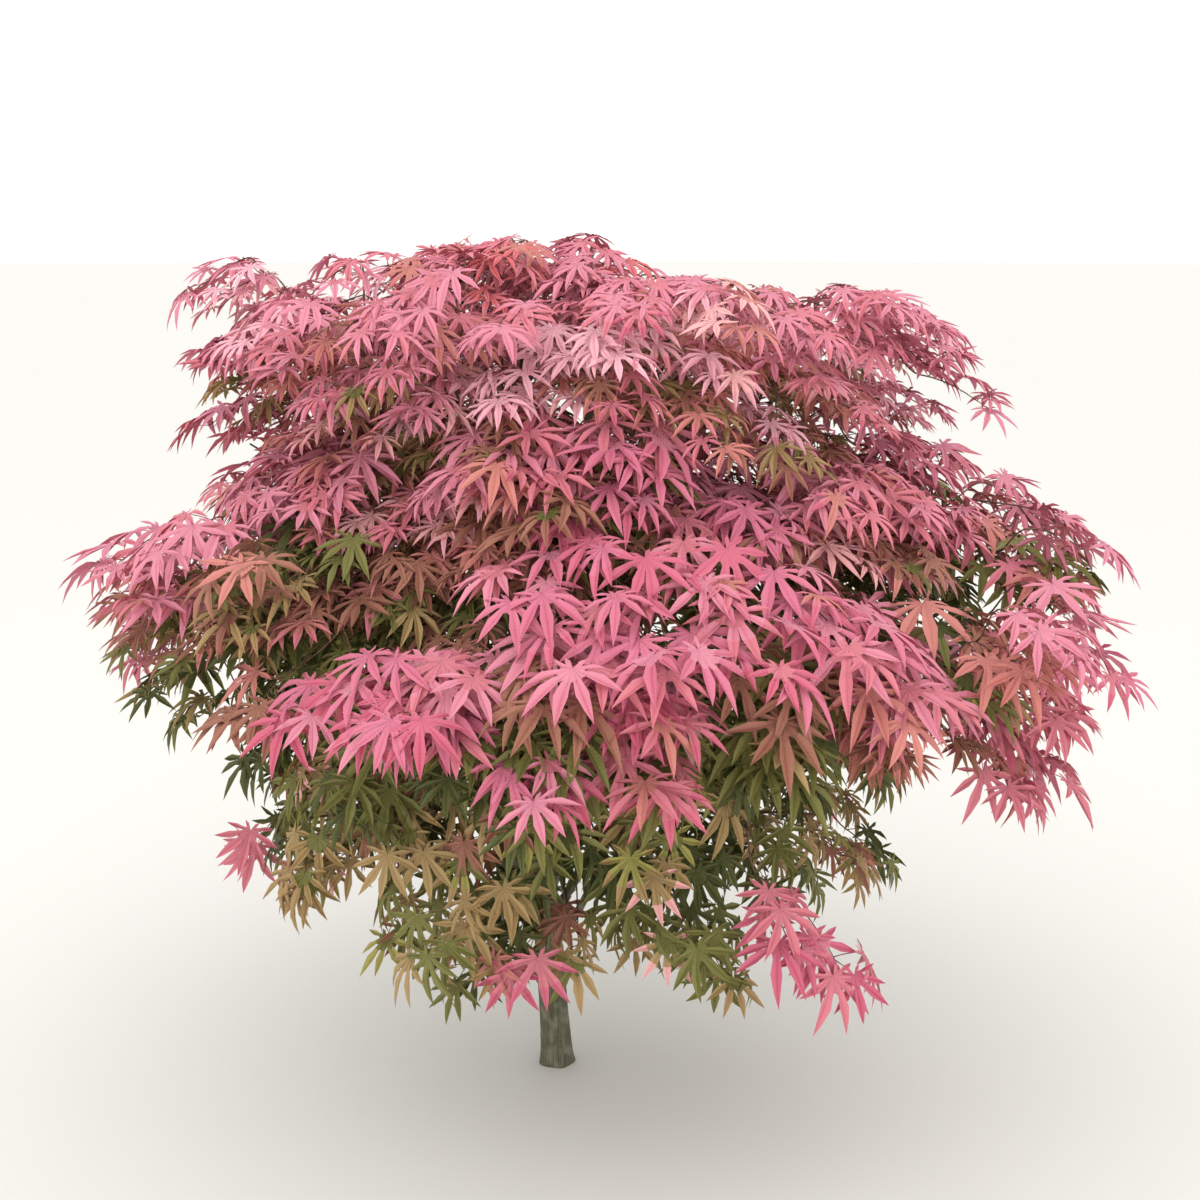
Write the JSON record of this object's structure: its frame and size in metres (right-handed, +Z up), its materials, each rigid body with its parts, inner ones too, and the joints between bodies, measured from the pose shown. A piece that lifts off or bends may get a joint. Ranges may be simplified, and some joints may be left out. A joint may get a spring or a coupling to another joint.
{
  "type": "japanese maple tree",
  "caption": "Small weeping Japanese maple, rooted in the ground: short leaning trunk, arching boughs, layers of pink foliage above and olive-green foliage hanging near the ground.",
  "frame": {"origin": "middle of the flat cut under the trunk, at ground level", "axes": "+Z up, -Y towards the side that the picture shows, +X to that side's right"},
  "size_m": [1.154, 0.9948, 0.9672],
  "materials": {
    "bark": "matt bark",
    "pink_foliage": "matt leaf",
    "rose_foliage": "matt leaf",
    "olive_foliage": "matt leaf"
  },
  "bodies": {
    "root": {"trunk": "bark", "bough_upper_1": "bark", "bough_upper_2": "bark", "bough_upper_3": "bark", "bough_upper_4": "bark", "bough_upper_5": "bark", "bough_upper_6": "bark", "bough_top_1": "bark", "bough_top_2": "bark", "bough_top_3": "bark", "bough_middle_1": "bark", "bough_middle_2": "bark", "bough_middle_3": "bark", "bough_middle_4": "bark", "bough_middle_5": "bark", "bough_middle_6": "bark", "bough_middle_7": "bark", "bough_apron_1": "bark", "bough_apron_2": "bark", "bough_apron_3": "bark", "bough_apron_4": "bark", "bough_apron_5": "bark", "bough_apron_6": "bark", "bough_apron_7": "bark", "bough_skirt_1": "bark", "bough_skirt_2": "bark", "bough_skirt_3": "bark", "bough_skirt_4": "bark", "bough_skirt_5": "bark", "bough_skirt_6": "bark", "foliage_upper_1": "pink_foliage", "foliage_upper_2": "pink_foliage", "foliage_upper_3": "pink_foliage", "foliage_upper_4": "pink_foliage", "foliage_upper_5": "pink_foliage", "foliage_upper_6": "pink_foliage", "foliage_top_1": "rose_foliage", "foliage_top_2": "rose_foliage", "foliage_top_3": "rose_foliage", "foliage_middle_1": "pink_foliage", "foliage_middle_2": "pink_foliage", "foliage_middle_3": "pink_foliage", "foliage_middle_4": "pink_foliage", "foliage_middle_5": "pink_foliage", "foliage_middle_6": "pink_foliage", "foliage_middle_7": "pink_foliage", "foliage_apron_1": "pink_foliage", "foliage_apron_2": "pink_foliage", "foliage_apron_3": "pink_foliage", "foliage_apron_4": "pink_foliage", "foliage_apron_5": "pink_foliage", "foliage_apron_6": "pink_foliage", "foliage_apron_7": "pink_foliage", "foliage_skirt_1": "olive_foliage", "foliage_skirt_2": "olive_foliage", "foliage_skirt_3": "olive_foliage", "foliage_skirt_4": "olive_foliage", "foliage_skirt_5": "olive_foliage", "foliage_skirt_6": "olive_foliage"}
  },
  "joints": []
}
